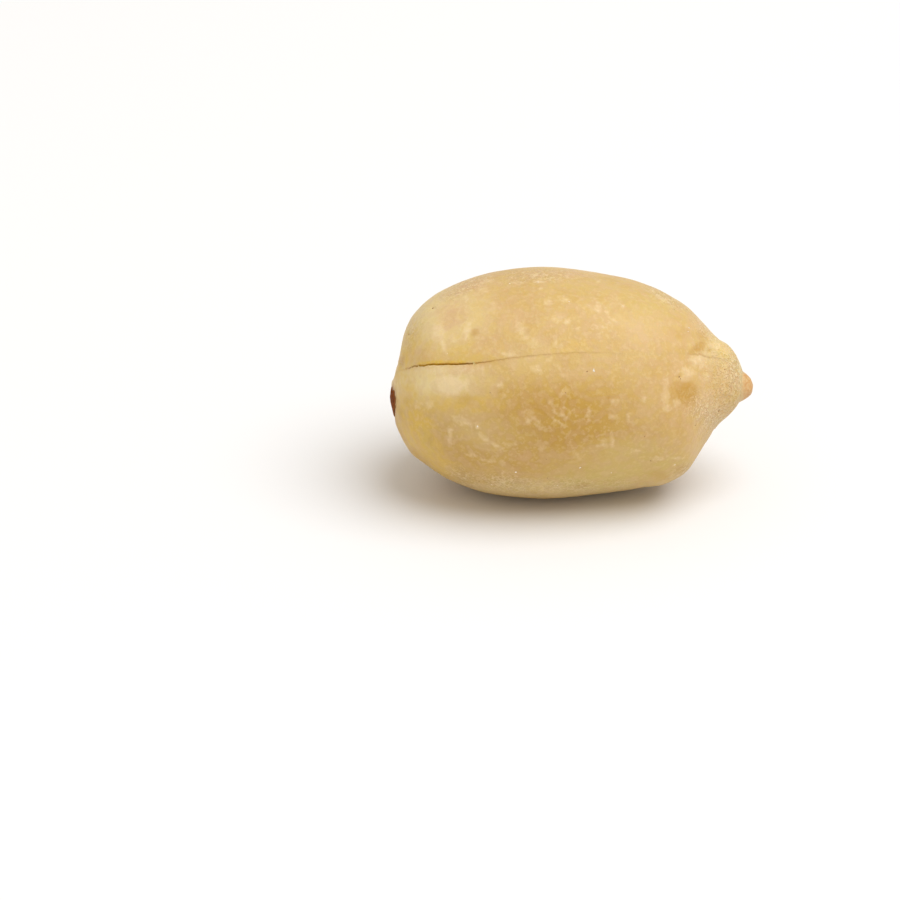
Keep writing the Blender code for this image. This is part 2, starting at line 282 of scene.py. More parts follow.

# Near marks: place along and up, half length, half breadth, degrees turned anticlockwise, and strength
# Some of these are painted glints: the thin strokes near the top edge at about 4.2 up, those at the upper
# right between 3.4 and 3.9 up, and the small dot at 2.05 along and 3.2 up.
PALE_MARKS_AND_GLINTS = (
    (-5.5, 2.1, 0.36, 0.26, 90, 0.85),
    (-5.27, 1.55, 0.42, 0.11, 108, 0.9),
    (-4.31, 2.2, 0.36, 0.13, 80, 1.0),
    (-4.85, 1.8, 0.15, 0.12, 0, 0.6),
    (-4.35, 3.5, 0.14, 0.1, 90, 0.7),
    (-3.65, 3.82, 0.18, 0.12, 0, 0.5),
    (-3.45, 4.25, 0.26, 0.08, 5, 0.6),
    (-2.2, 4.17, 0.32, 0.05, 0, 0.6),
    (-1.38, 4.2, 0.18, 0.05, -5, 0.8),
    (-1.3, 3.9, 0.12, 0.1, 0, 0.5),
    (-1.0, 3.35, 0.17, 0.17, 0, 0.6),
    (-0.3, 3.47, 0.26, 0.12, -25, 0.6),
    (-3.22, 3.08, 0.22, 0.16, 90, 0.5),
    (-0.7, 2.65, 0.28, 0.22, 0, 0.5),
    (-0.25, 2.55, 0.14, 0.14, 0, 0.7),
    (-2.12, 2.22, 0.3, 0.2, -50, 0.6),
    (-1.9, 1.9, 0.2, 0.16, 0, 0.4),
    (-1.65, 1.65, 0.24, 0.2, 0, 0.5),
    (-0.7, 1.78, 0.26, 0.1, 90, 0.5),
    (-0.5, 1.5, 0.15, 0.1, -45, 0.5),
    (-2.7, 1.2, 0.28, 0.09, -8, 0.7),
    (-4.98, -0.06, 0.54, 0.34, -3, 1.8),
    (-5.2, 0.58, 1.6, 0.16, 3, 0.8),
    (-3.7, 0.62, 0.75, 0.2, 12, 0.4),
    (-1.55, 0.6, 0.22, 0.2, 0, 0.7),
    (-1.0, 0.97, 0.14, 0.12, 0, 0.6),
    (-0.6, 0.7, 0.2, 0.1, -40, 0.4),
    (-0.4, 0.35, 0.24, 0.1, -15, 0.5),
    (-3.0, -0.05, 0.16, 0.12, 0, 0.7),
    (-2.85, -0.45, 0.14, 0.1, -60, 0.4),
    (0.55, 3.2, 0.14, 0.12, 0, 0.4),
    (1.05, 3.1, 0.28, 0.14, 100, 0.6),
    (1.4, 2.93, 0.18, 0.1, 110, 0.5),
    (2.05, 3.2, 0.09, 0.07, 0, 0.7),
    (1.65, 2.6, 0.22, 0.06, -30, 0.5),
    (1.55, 2.45, 0.2, 0.05, -30, 0.4),
    (1.1, 2.3, 0.32, 0.22, 0, 0.35),
    (0.2, 2.2, 0.2, 0.14, 90, 0.35),
    (3.32, 3.85, 0.14, 0.05, -10, 0.7),
    (3.7, 3.55, 0.28, 0.05, -20, 0.7),
    (3.85, 3.43, 0.2, 0.04, -20, 0.5),
    (1.08, 4.22, 0.14, 0.04, 25, 0.6),
    (5.15, 1.02, 0.34, 0.3, 0, 0.8),
    (4.68, 0.47, 0.34, 0.24, 0, 0.75),
    (4.6, 0.18, 0.36, 0.12, 0, 0.5),
    (5.5, 0.3, 0.2, 0.16, 0, 0.4),
    (5.95, 1.55, 0.34, 0.14, 0, 0.7),
    (6.35, 1.4, 0.3, 0.16, -40, 0.5),
    (-5.85, -0.85, 0.22, 0.16, 20, 0.7),
    (-6.3, -0.8, 0.3, 0.2, 10, 0.4),
    (-4.4, -1.55, 0.42, 0.16, -22, 0.6),
    (-4.85, -1.35, 0.22, 0.05, -35, 0.5),
    (-4.7, -1.58, 0.22, 0.05, -35, 0.5),
    (-3.9, -1.76, 0.09, 0.06, 60, 1.0),
    (-5.0, -2.12, 0.36, 0.11, 88, 0.8),
    (-3.6, -2.2, 0.3, 0.12, -40, 0.7),
    (-3.15, -2.48, 0.36, 0.09, -28, 0.7),
    (-2.55, -2.45, 0.3, 0.07, -8, 0.5),
    (-4.1, -2.9, 0.38, 0.05, -10, 0.6),
    (-3.5, -3.12, 0.34, 0.04, -8, 0.5),
    (-2.9, -3.2, 0.14, 0.12, 0, 0.6),
    (-2.85, -3.7, 0.2, 0.1, 90, 0.4),
    (-1.85, -1.52, 0.2, 0.14, 70, 0.6),
    (-1.55, -1.45, 0.54, 0.06, -38, 0.62),
    (-1.4, -1.72, 0.3, 0.05, -38, 0.6),
    (-0.65, -1.52, 0.42, 0.06, -35, 0.5),
    (-0.4, -1.3, 0.5, 0.05, -28, 0.48),
    (-0.15, -1.1, 0.4, 0.05, -30, 0.35),
    (-1.75, -1.15, 0.3, 0.05, -38, 0.4),
    (-1.3, -2.5, 0.34, 0.2, 0, 0.4),
    (-0.3, -0.3, 0.22, 0.14, 20, 0.6),
    (-0.9, -0.72, 0.14, 0.12, 0, 0.5),
    (1.7, -0.72, 0.2, 0.16, 0, 0.6),
    (1.66, -1.36, 0.18, 0.12, 0, 0.6),
    (0.65, -1.22, 0.3, 0.1, 86, 0.55),
    (1.6, -2.3, 0.36, 0.11, 90, 0.6),
    (1.22, -2.42, 0.3, 0.12, 35, 0.5),
    (2.5, -2.72, 0.34, 0.14, 0, 0.4),
    (3.8, -0.45, 0.6, 0.14, 90, 0.7),
    (3.8, -0.95, 0.2, 0.2, 0, 0.7),
    (4.25, -0.75, 0.17, 0.15, 0, 0.8),
    (2.9, -0.6, 0.2, 0.09, 85, 0.5),
    (2.25, -1.35, 0.2, 0.1, 80, 0.5),
    (3.5, -3.02, 0.26, 0.09, 0, 0.6),
    (4.3, -3.02, 0.4, 0.06, 0, 0.5),
    (4.2, -3.3, 0.08, 0.06, 0, 0.7),
    (0.2, -2.9, 0.4, 0.25, 0, 0.3),
)
AMBER_MARKS = (
    (4.58, -0.38, 0.56, 0.48, 0, 1.3),
    (3.65, -3.72, 0.4, 0.22, -10, 0.6),
    (4.55, -3.45, 0.44, 0.18, 15, 0.6),
    (0.4, -4.15, 0.34, 0.12, 10, 0.7),
    (-4.4, -0.62, 0.4, 0.24, 0, 0.5),
    (-5.8, -2.3, 0.26, 0.15, 80, 0.5),
    (-6.75, -0.7, 0.22, 0.16, 60, 0.4),
    (-7.02, 0.95, 0.14, 0.26, 0, 0.7),
    (-2.15, -1.85, 0.2, 0.1, -60, 0.5),
    (-2.0, -2.85, 0.22, 0.12, 90, 0.5),
    (-1.3, -1.15, 0.3, 0.07, -30, 0.6),
    (-0.25, -1.24, 0.4, 0.05, -28, 0.6),
    (-1.8, -1.7, 0.4, 0.05, -38, 0.6),
    (0.05, -1.75, 0.25, 0.12, 0, 0.4),
    (-2.95, -0.33, 0.12, 0.1, 0, 0.7),
    (-0.7, 0.15, 0.25, 0.1, 0, 0.4),
    (1.15, 0.25, 0.3, 0.12, 0, 0.4),
    (1.45, -0.55, 0.09, 0.08, 0, 0.9),
    (5.14, 1.5, 0.4, 0.2, 48, 1.3),
    (5.35, 1.95, 0.36, 0.26, -20, 0.8),
    (4.9, 1.26, 0.2, 0.12, 60, 0.7),
    (5.6, 1.42, 0.14, 0.12, 0, 0.7),
    (6.22, 1.52, 0.11, 0.08, 0, 0.5),
    (4.35, 2.0, 0.35, 0.24, 0, 0.3),
    (-4.0, 2.1, 0.18, 0.16, 0, 0.8),
    (-1.85, 2.15, 0.12, 0.14, 0, 0.4),
    (7.0, -0.3, 0.2, 0.6, 0, 0.5),
)
GREEN_MARKS = (
    (-6.4, -1.55, 1.0, 0.62, -80, 0.9),
    (-6.05, -2.4, 0.9, 0.52, -62, 0.75),
    (-5.6, -3.1, 0.85, 0.42, -48, 0.65),
    (-5.2, -3.5, 0.65, 0.28, -35, 0.4),
    (-6.75, -0.6, 1.0, 0.45, 90, 0.7),
    (-4.9, -0.8, 1.8, 0.4, 0, 0.5),
    (-4.5, 1.2, 1.3, 0.55, 0, 0.35),
    (-6.0, 1.1, 0.8, 0.6, 60, 0.3),
    (0.2, 1.65, 0.7, 0.18, 0, 0.25),
    (-0.5, 1.36, 1.0, 0.14, 2, 0.25),
    (2.6, 3.3, 1.2, 0.44, -10, 0.1),
    (-5.4, 0.88, 1.2, 0.08, 2, 0.6),
    (6.25, 1.42, 0.5, 0.24, -35, 0.4),
    (-6.85, 1.3, 1.2, 0.5, 80, 0.8),
)
OLIVE_MARKS = (
    (1.2, -3.75, 2.0, 0.55, 3, 0.9),
    (3.0, -3.45, 1.6, 0.55, 8, 0.8),
    (2.2, -2.8, 1.5, 0.5, 0, 0.6),
    (0.6, 3.9, 1.6, 0.4, 0, 0.3),
    (3.0, 3.2, 1.4, 0.5, -12, 0.6),
    (-5.95, -2.3, 0.6, 0.24, -66, 0.5),
)
PINK_MARKS = (
    (-5.0, 2.75, 0.62, 0.5, 90, 0.85),
    (-4.2, 4.05, 1.0, 0.28, 22, 0.9),
    (-0.2, 4.55, 1.3, 0.2, 0, 0.6),
    (-1.6, 4.5, 0.6, 0.2, 5, 0.7),
    (-3.4, 1.65, 0.55, 0.4, 0, 0.5),
    (-2.6, 2.9, 0.6, 0.5, 0, 0.4),
    (-6.0, 1.2, 0.5, 0.3, 0, 0.5),
    (5.35, 2.45, 0.34, 0.3, -45, 0.6),
    (6.5, 0.2, 0.55, 0.6, 0, 0.55),
    (5.6, -0.9, 1.1, 0.6, -30, 0.6),
    (-4.4, 0.6, 0.9, 0.18, 8, 0.6),
    (-1.9, -1.35, 0.4, 0.3, 0, 0.4),
    (4.4, 1.7, 0.5, 0.3, 0, 0.2),
    (-2.0, -3.0, 0.24, 0.3, 0, 0.4),
    (3.0, 1.9, 0.4, 0.3, 90, 0.3),
    (2.8, 2.6, 2.4, 1.4, -20, 0.15),
    (4.8, -0.5, 1.8, 1.6, 0, 0.3),
)
# Pale soft patches. They are partly the flesh's own bleached tone and partly painted light. The painted
# light brightens the left end, which faces away from the lamp, and a few spots above the seam and at the
# upper right.
BLEACHED_AND_LIT_MARKS = (
    (-5.8, 2.7, 2.2, 1.8, 0, 0.9),
    (-2.0, 1.0, 1.2, 0.7, 0, 0.25),
    (2.4, 2.9, 2.2, 1.0, -15, 0.2),
    (-5.9, 0.1, 2.1, 0.9, 0, 1.2),
    (-3.8, -1.8, 2.0, 0.9, -10, 0.3),
    (6.0, 1.6, 1.0, 0.7, 0, 0.6),
    (0.5, -4.3, 5.0, 0.35, 0, 0.6),
)
# Warm, darker patches. They are partly the flesh's own tone and partly painted shade that darkens the lower
# middle. The row at -7.05 is a painted warm glow of bounced light along the lower left end.
WARM_AND_SHADE_MARKS = (
    (-1.0, -1.6, 3.1, 1.4, 8, 1.12),
    (-4.6, -2.6, 2.4, 1.2, -25, 0.6),
    (-1.6, -3.0, 2.6, 1.1, 0, 0.55),
    (3.2, -3.7, 2.4, 0.6, 10, 0.15),
    (4.6, -0.5, 0.8, 0.7, 0, 0.6),
    (4.3, -1.4, 1.2, 0.9, 0, 0.3),
    (-7.05, -1.4, 1.0, 0.5, 80, 0.9),
    (1.4, 2.0, 2.6, 1.0, 0, 0.14),
)

# Rough, granular stretches, as the marks above
ROUGH_MARKS = (
    (-4.3, 4.1, 1.3, 0.36, 25, 0.9),
    (-1.2, 4.5, 1.8, 0.34, 3, 0.8),
    (-6.6, 2.2, 1.0, 0.34, 65, 0.6),
    (3.9, 3.6, 1.0, 0.28, -30, 0.8),
    (5.5, 2.4, 0.8, 0.34, -50, 0.8),
    (-4.4, -3.85, 0.8, 0.34, -25, 0.9),
    (-2.5, -4.1, 1.5, 0.38, -8, 1.0),
    (0.0, -4.2, 1.6, 0.32, 0, 0.9),
    (1.8, -4.1, 0.9, 0.24, 8, 0.6),
    (5.6, -1.2, 1.0, 0.6, -35, 1.0),
    (6.7, 0.5, 0.4, 0.8, 0, 0.9),
    (4.7, -3.5, 0.7, 0.24, 25, 0.8),
)

# The layers of marks: name, rows, seed of the far side, and 1 where the edges are ragged
MARK_LAYERS = (
    ("pale", PALE_MARKS_AND_GLINTS, 31, 1),
    ("amber", AMBER_MARKS, 32, 1),
    ("green", GREEN_MARKS, 33, 1),
    ("olive", OLIVE_MARKS, 34, 1),
    ("pink", PINK_MARKS, 14, 1),
    ("bleached_and_lit", BLEACHED_AND_LIT_MARKS, 17, 0),
    ("warm_and_shade", WARM_AND_SHADE_MARKS, 15, 0),
    ("rough", ROUGH_MARKS, 16, 1),
)

# How strongly the flesh that faces down is painted darker and warmer as shade, and how far down it faces
# where that begins and is full
UNDERSIDE_SHADE = 1.2
UNDERSIDE_BEGINS = (0.8, 1.0)

# Where the frosted folds of the tip and its collar begin and are full, and how ragged the collar is. The
# collar's pale ring is partly painted light over the shade of the crease round the root tip.
FOLDS_BEGIN = (4.8, 6.4)
FLESH_COLLAR = (6.8, 6.98)
COLLAR_RAGGED = 0.05

# Where the open crack begins and is full, by half the gap and by the distance from the middle
OPEN_GAP = (0.015, 0.034)
CRACK_BEGINS = (3, 4)

# The painted light along the crack's lips: its fade from the seam, its raggedness, how strongly the upper
# lip is painted with a green-yellow glow of bounced light, and how strongly the lower lip is painted with a
# pale highlight
LIP_LIGHT_FADES = (0.1, 0.24)
LIP_LIGHT_RAGGED = 0.03
UPPER_LIP_GLOW = 1.05
LOWER_LIP_HIGHLIGHT = 0.5

# How far inside the rim the plain flesh begins, and how far from the seam the outside carries the brown
# painted shade of the seam's gap
INSIDE_BEGINS = 0.05
SEAM_SHADE_REACH = 0.09

# Tiny specks of skin and of dried flesh that stick to the kernel: place along and up, and radius
SKIN_SPECKS = (
    (0.6, 0.5, 0.04),
    (4.37, 0.28, 0.05),
    (4.42, 0.22, 0.03),
    (5.05, -1.68, 0.035),
    (6.05, -1.1, 0.05),
    (6.08, -1.02, 0.03),
    (-3.8, -3.98, 0.03),
    (-3.4, -0.38, 0.026),
    (6.3, 0.6, 0.036),
    (-5.7, 3.12, 0.05),
    (-6.7, 2.08, 0.045),
    (4.22, 3.08, 0.03),
    (-1.0, -3.85, 0.026),
    (-1.1, -3.05, 0.024),
    (2.95, -2.15, 0.026),
    (3.2, -3.15, 0.028),
    (-0.3, -0.35, 0.024),
)
GRAINS = (
    (0.83, 0.52, 0.05),
    (0.8, 0.6, 0.03),
    (0.3, -3.4, 0.048),
    (-2.3, -3.6, 0.05),
    (-2.55, 4.12, 0.042),
    (-3.9, -1.76, 0.04),
    (1.6, -3.62, 0.034),
    (4.78, 2.32, 0.036),
    (4.76, 2.17, 0.03),
    (2.05, 3.2, 0.03),
    (-0.17, 3.38, 0.03),
    (-5.15, 1.25, 0.026),
    (-1.4, 4.2, 0.03),
    (3.35, 3.84, 0.03),
    (4.2, -3.3, 0.034),
    (5.95, -0.62, 0.026),
    (-4.35, -3.75, 0.034),
    (-3.3, -4.1, 0.03),
    (-1.7, -4.05, 0.03),
    (-0.6, -4.15, 0.034),
)

# How flat and how narrow a speck is, and the height, pace and shift of its lumps
SPECK_FLATNESS = 0.4
SPECK_NARROWNESS = (0.5, 0.9)
SPECK_LUMPS = (0.3, 1.7, 3)

# Specks on the far side: how far behind the outline they lie, how many there are, and their radii
FAR_SIDE = -0.8
FAR_SKIN_SPECKS = 18
FAR_GRAINS = 46
FAR_SPECK_RADII = (0.018, 0.044)

# Creases: half breadth, depth, and the points that they pass, along and up
CREASES = (
    (0.06, 0.02, ((4.86, 1.26), (5.12, 1.5), (5.3, 1.66), (5.5, 1.78), (5.8, 1.8), (6.14, 1.88))),
    (0.09, 0.022, ((-6.95, -0.95), (-6.88, -1.5), (-6.72, -2.05), (-6.4, -2.75), (-5.95, -3.25))),
)

# How much creases waver along and up, and within how many half breadths they fade
CREASE_RAGGED = (0.02, 0.03)
CREASE_FADES = 2

# Pits: place along and up, radius and depth. They are ragged and fade within this many radii.
PITS = (
    (5.6, 1.42, 0.12, 0.025),
    (6.22, 1.52, 0.09, 0.015),
    (4.37, 0.28, 0.08, 0.03),
    (5.05, -1.68, 0.06, 0.03),
    (6.06, -1.08, 0.08, 0.03),
    (6.3, 0.6, 0.07, 0.02),
    (-5.7, 3.12, 0.09, 0.03),
    (-6.7, 2.08, 0.1, 0.035),
    (4.22, 3.08, 0.09, 0.025),
    (-7.05, 0.82, 0.16, 0.06),
    (5.9, -1.92, 0.12, 0.05),
    (0.6, 0.5, 0.07, 0.02),
)
PIT_RAGGED = 0.2
PIT_FADES = 1.3

# How far behind the outline creases and pits are gone, and how far before it they are full
NEAR_SIDE = (-0.4, 0.1)

# The lobe beside the root tip: a mark as above, height, raggedness, share at the seam, and where it is full
LOBE = (5.95, 1.42, 0.85, 0.38, -12, 1.0)
LOBE_HEIGHT = 0.05
LOBE_RAGGED = 0.5
LOBE_AT_SEAM = 0.1
LOBE_REACH = 0.35

# Threads of torn flesh that bridge the crack: place along, length and lean
SHREDS = (
    (-4.06, 0.17, 0.1),
    (-3.99, 0.11, -0.5),
    (-4.72, 0.06, 0.8),
    (-5.31, 0.05, -0.7),
    (-5.92, 0.07, 0.4),
    (-6.28, 0.08, -0.3),
    (-6.61, 0.09, 0.5),
    (-6.83, 0.1, -0.4),
)

# Their radius at the foot, and how far inside the lower lip and below it they stand
SHRED_RADIUS = 0.026
SHRED_INSIDE = 0.012
SHRED_SUNK = 0.05

# The camera looks down on the kernel at this angle, from far off
LOOK_DOWN = math.radians(25.0)
CAMERA_DISTANCE = 0.31
VIEW_WIDTH = 0.03719
SENSOR_WIDTH = 36.0
VIEW_CENTRE_ALONG = -5.01
VIEW_CENTRE_UP = -2.69
NEAREST_SEEN = 0.01
FARTHEST_SEEN = 10.0

# The light: an even pale room and a broad soft lamp, a little to the right and in front
ROOM_LIGHT = 0.68
ROOM_COLOUR = (1.0, 0.94, 0.85, 1.0)
LAMP_PLACE = (0.19, -0.10, 0.455)
LAMP_WIDTH = 0.50
LAMP_POWER = 2.15
LAMP_COLOUR = (0.93, 0.96, 1.0)

# The floor, just under the kernel
FLOOR_REACH = 1.5
FLOOR_DROP = 0.00001
FLOOR_COLOUR = (0.84, 0.84, 0.85, 1.0)
FLOOR_ROUGHNESS = 0.8
FLOOR_GLOSS = 0.1


def smooth_curve(x, places, values):
    """A smooth curve through the values, level beyond the first and the last place."""
    slopes = np.gradient(values, places)
    slopes[[0, -1]] = 0.0
    x = np.clip(x, places[0], places[-1])
    left = np.clip(np.searchsorted(places, x, side="right") - 1, 0, len(places) - 2)
    span = places[left + 1] - places[left]
    t = (x - places[left]) / span
    start = (1 + 2 * t) * (1 - t) ** 2 * values[left] + t * (1 - t) ** 2 * span * slopes[left]
    end = t * t * (3 - 2 * t) * values[left + 1] - t * t * (1 - t) * span * slopes[left + 1]
    return start + end


def ease(value, low, high):
    """0 below low, 1 above high and a smooth step between."""
    t = np.clip((value - low) / (high - low), 0, 1)
    return t * t * (3 - 2 * t)


def end_round(x, first, last):
    """1 in the middle of the stretch, falling to 0 at both ends as an ellipse does."""
    middle = (first + last) / 2
    reach = (last - first) / 2
    return np.sqrt(np.clip(1 - ((x - middle) / reach) ** 2, 0, 1))


def rounded_profile(x, rows, column, first, last):
    """The size in that column of the rows, closed off round at both ends."""
    table = np.array(rows)
    fullness = table[:, column] / end_round(table[:, 0], first, last)
    return smooth_curve(x, table[:, 0], fullness) * end_round(x, first, last)


def half_size(x, column):
    return rounded_profile(x, SECTIONS, column, BLUNT_END, HALVES_END)


def half_height(x, is_above):
    return np.where(is_above, half_size(x, ABOVE), half_size(x, BELOW))


def lip_value(x, column):
    table = np.array(SEAM_LIPS)
    return smooth_curve(x, table[:, 0], table[:, column])


def relief(points, pattern):
    """Smooth noise at the points, up to about the pattern's height to either side of 0."""
    height, size, octaves, seed = pattern
    shift = Vector((seed, 2.3 * seed, -1.7 * seed))
    return height * np.array([noise.fractal(Vector(p) / size + shift, 1.0, 2.0, octaves) for p in points])


def seam_height(x):
    """The height of the seam's edge. It stays on the kernel where the pointed end closes over it."""
    places, heights = np.array(SEAM_HEIGHTS).T
    waver = sum(strength * np.sin(pace * x + shift) for strength, pace, shift in SEAM_WAVES)
    edge = smooth_curve(x, places, heights) + waver * lip_value(x, RAGGED)
    return np.minimum(edge, STEEPEST_SEAM * half_size(x, ABOVE))


def seam_angle(x):
    height = seam_height(x)
    reach = np.maximum(half_height(x, height > 0), TINY)
    return np.arcsin(np.clip(height / reach, -STEEPEST_SEAM, STEEPEST_SEAM))


def from_seam(points):
    """How far above or below the seam's edge the points lie."""
    return np.abs(points[:, 2] - seam_height(points[:, 0]))


def swelling(x, angle, side_sign):
    """How far the swellings and hollows lift the surface. The angle is in degrees from the near edge."""
    around = np.where(side_sign > 0, np.sign(angle + TINY) * 180 - angle, angle)
    lift = np.zeros_like(x)
    for place_along, turn, reach_along, reach_around, height in SWELLINGS:
        turned = (around - turn + 180) % 360 - 180
        arc = np.radians(turned) * half_size(x, WIDTH)
        lift += height * np.exp(-(((x - place_along) / reach_along) ** 2) - (arc / reach_around) ** 2)
    return lift


def outside(x, angle, side_sign):
    """Points on the kernel's outside, at these angles up from the seam plane, on either side."""
    height = half_height(x, angle > 0)
    lift = swelling(x, np.degrees(angle), side_sign) * np.clip(height / FULL_SWELL_HEIGHT, 0, 1)
    y = side_sign * (half_size(x, WIDTH) + lift) * np.cos(angle)
    z = (height + lift) * np.sin(angle)
    return np.stack([x, y, z], axis=1)


def unit(vectors):
    return vectors / np.maximum(np.linalg.norm(vectors, axis=1, keepdims=True), TINY)


def facing(points):
    """The way the smooth kernel faces at these points. It is the same on both sides of the seam."""
    x = points[:, 0]
    is_above = points[:, 2] > 0
    later = x + SLOPE_STEP
    earlier = x - SLOPE_STEP
    width = np.maximum(half_size(x, WIDTH), THINNEST)
    height = np.maximum(half_height(x, is_above), THINNEST)
    width_slope = (half_size(later, WIDTH) - half_size(earlier, WIDTH)) / (2 * SLOPE_STEP)
    height_slope = (half_height(later, is_above) - half_height(earlier, is_above)) / (2 * SLOPE_STEP)
    across = points[:, 1] / width
    up = points[:, 2] / height
    slope = -(across**2 * width_slope + up**2 * height_slope)
    found = np.stack([slope, across, up * width / height], axis=1)
    found[np.abs(found).sum(axis=1) < TINY] = (1.0, 0.0, 0.0)
    return unit(found)


def turn_from_rim(directions, upward):
    """1 at a half's outer pole, 0 at its rim and -1 in the middle of its inner face."""
    across = np.hypot(directions[:, 1], directions[:, 2])
    turn = np.arctan2(upward * directions[:, 2], np.abs(directions[:, 1])) / (math.pi / 2)
    turn = np.where(across < TINY, 0.0, turn)
    return np.sign(turn) * np.abs(turn) ** RIM_CROWDING


def lip_shift(points, share, upward):
    """How far a lip moves the outside out, or in where it rounds over into the seam."""
    x = points[:, 0]
    width = half_size(x, WIDTH)
    radius = lip_value(x, UPPER_LIP if upward > 0 else LOWER_LIP) * share
    distance = from_seam(points)
    part = np.clip(1 - distance / radius, 0, 1)
    lean = radius * (1 - np.sqrt(1 - part**2)) * np.clip(width, 0, 1)
    proud = lip_value(x, PROUD) * share * np.exp(-distance / PROUD_REACH) * np.clip(width - 1, 0, 1)
    return np.where(upward < 0, proud, 0.0) - np.minimum(lean, np.abs(points[:, 1]) * MOST_ROUNDED)


def dish_depth(x, inner_part):
    """How deep an inner face is dished, where inner_part falls from 1 at the rim to 0 in the middle."""
    ends = end_round(x, BLUNT_END, HALVES_END)
    from_rim = 1 - np.sqrt(np.clip(inner_part**2 * ends**2 + 1 - ends**2, 0, 1))
    return DISH_DEPTH * ease(from_rim, 0, DISH_LAND)


def half_surface(directions, upward):
    """Unit directions to points on one seed half, and how far each point lies inside, from 0 at the rim."""
    x = (BLUNT_END + HALVES_END) / 2 + directions[:, 0] * (HALVES_END - BLUNT_END) / 2
    side_sign = np.where(directions[:, 1] > 0, 1.0, -1.0)
    share = np.where(side_sign < 0, 1.0, FAR_SEAM_SHARE)
    turn = turn_from_rim(directions, upward)
    outer_turn = np.clip(turn, 0, 1)
    edge = seam_angle(x)
    points = outside(x, edge + (upward * math.pi / 2 - edge) * outer_turn, side_sign)
    points[:, 1] += side_sign * lip_shift(points, share, upward)
    # The inner face runs from one lip to the other and is dished between them.
    inner_part = np.cos(np.clip(-turn, 0, 1) * math.pi / 2)
    points[:, 1] *= np.where(turn < 0, inner_part, 1.0)
    points[:, 2] += upward * np.where(turn < 0, dish_depth(x, inner_part), 0.0)
    # Each half stands back from the seam by half the gap, less so towards its pole and behind the lip.
    inside = np.where(turn < 0, (1 - inner_part) * half_size(x, WIDTH), 0.0)
    behind = 1 - GAP_CLOSES * ease(inside, *GAP_CLOSES_BETWEEN)
    rise = np.where(turn < 0, behind, np.cos(outer_turn * math.pi / 2))
    points[:, 2] += upward * lip_value(x, GAP) * share * rise
    return points, inside


def seen_from(points, turned=0.0):
    """Places along the kernel and up it, and towards the viewer, for a viewer turned about its length."""
    tilt = -ROLL - LOOK_DOWN + math.radians(turned)
    up = -points[:, 1] * math.sin(tilt) + points[:, 2] * math.cos(tilt)
    towards = -points[:, 1] * math.cos(tilt) - points[:, 2] * math.sin(tilt)
    return points[:, 0], up, towards


def upwards(points):
    """How much the smooth kernel faces up at these points as it lies, from -1 to 1."""
    across, up = facing(points)[:, 1:].T
    return across * math.sin(ROLL) + up * math.cos(ROLL)


def rolled(points):
    """Kernel millimetres to metres, rolled onto its side."""
    cosine = math.cos(ROLL)
    sine = math.sin(ROLL)
    found = points.copy()
    found[:, 1] = points[:, 1] * cosine - points[:, 2] * sine
    found[:, 2] = points[:, 1] * sine + points[:, 2] * cosine
    return found * METRES


def to_frame(points):
    """Kernel millimetres to CAD metres."""
    return rolled(points) + PLACE


def on_floor(points):
    """Kernel millimetres to CAD metres, with nothing below the floor."""
    placed = to_frame(points)
    placed[:, 2] = np.maximum(placed[:, 2], 0.0)
    return placed


def mesh_data(mesh, name):
    data = bpy.data.meshes.new(name)
    mesh.to_mesh(data)
    mesh.free()
    return data


def add_object(name, data):
    item = bpy.data.objects.new(name, data)
    bpy.context.scene.collection.objects.link(item)
    return item


def cut_cube(cuts):
    """A cube cut into even squares. Its vertices are used as directions, so it stands for a round ball."""
    mesh = bmesh.new()
    bmesh.ops.create_cube(mesh, size=2.0)
    bmesh.ops.subdivide_edges(mesh, edges=mesh.edges[:], cuts=cuts, use_grid_fill=True)
    return mesh_data(mesh, "ball")


def read_points(data):
    points = np.empty(len(data.vertices) * 3)
    data.vertices.foreach_get("co", points)
    return points.reshape(-1, 3)


def write_points(data, points):
    data.vertices.foreach_set("co", np.ascontiguousarray(points, dtype=np.float32).ravel())
    data.update()


def directions_of(data):
    """Unit directions of a cut cube's vertices, spread evenly over the ball."""
    return unit(np.tan(read_points(data) * math.pi / 4))


def rim_directions(data, upward):
    """Directions with the rim's row of the cube moved to the equator, so that the outside is the finer."""
    found = directions_of(data)
    azimuth = np.arctan2(found[:, 1], found[:, 0])
    elevation = np.arcsin(np.clip(found[:, 2], -1, 1))
    row = math.tan((2 * RIM_ROW / (HALF_CUTS + 1) - 1) * math.pi / 4)
    rim = np.arctan(row * np.maximum(np.abs(np.cos(azimuth)), np.abs(np.sin(azimuth))))
    above_rim = (elevation - rim) / (math.pi / 2 - rim)
    below_rim = (elevation - rim) / (math.pi / 2 + rim)
    raised = np.where(elevation > rim, above_rim, below_rim) * math.pi / 2
    raised = np.where(np.abs(raised) < RIM_SNAP, 0.0, raised)
    flat = np.cos(raised)
    return np.stack([flat * np.cos(azimuth), flat * np.sin(azimuth), upward * np.sin(raised)], axis=1)


def mesh_from(data, points):
    """Gives the mesh these points and turns its faces outwards."""
    write_points(data, points)
    mesh = bmesh.new()
    mesh.from_mesh(data)
    bmesh.ops.recalc_face_normals(mesh, faces=mesh.faces)
    mesh.to_mesh(data)
    mesh.free()
    data.shade_smooth()


def paint(data, name, values):
    layer = data.attributes.new(name, "FLOAT", "POINT")
    layer.data.foreach_set("value", np.ascontiguousarray(values, dtype=np.float32))


def add_piece(name, data, node, finish):
    """Adds a finished mesh as a piece. It stands for the node, if there is one."""
    data.materials.clear()
    data.materials.append(finish)
    piece = add_object(name, data)
    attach(piece, "root")
    if node:
        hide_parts(node)
    return piece


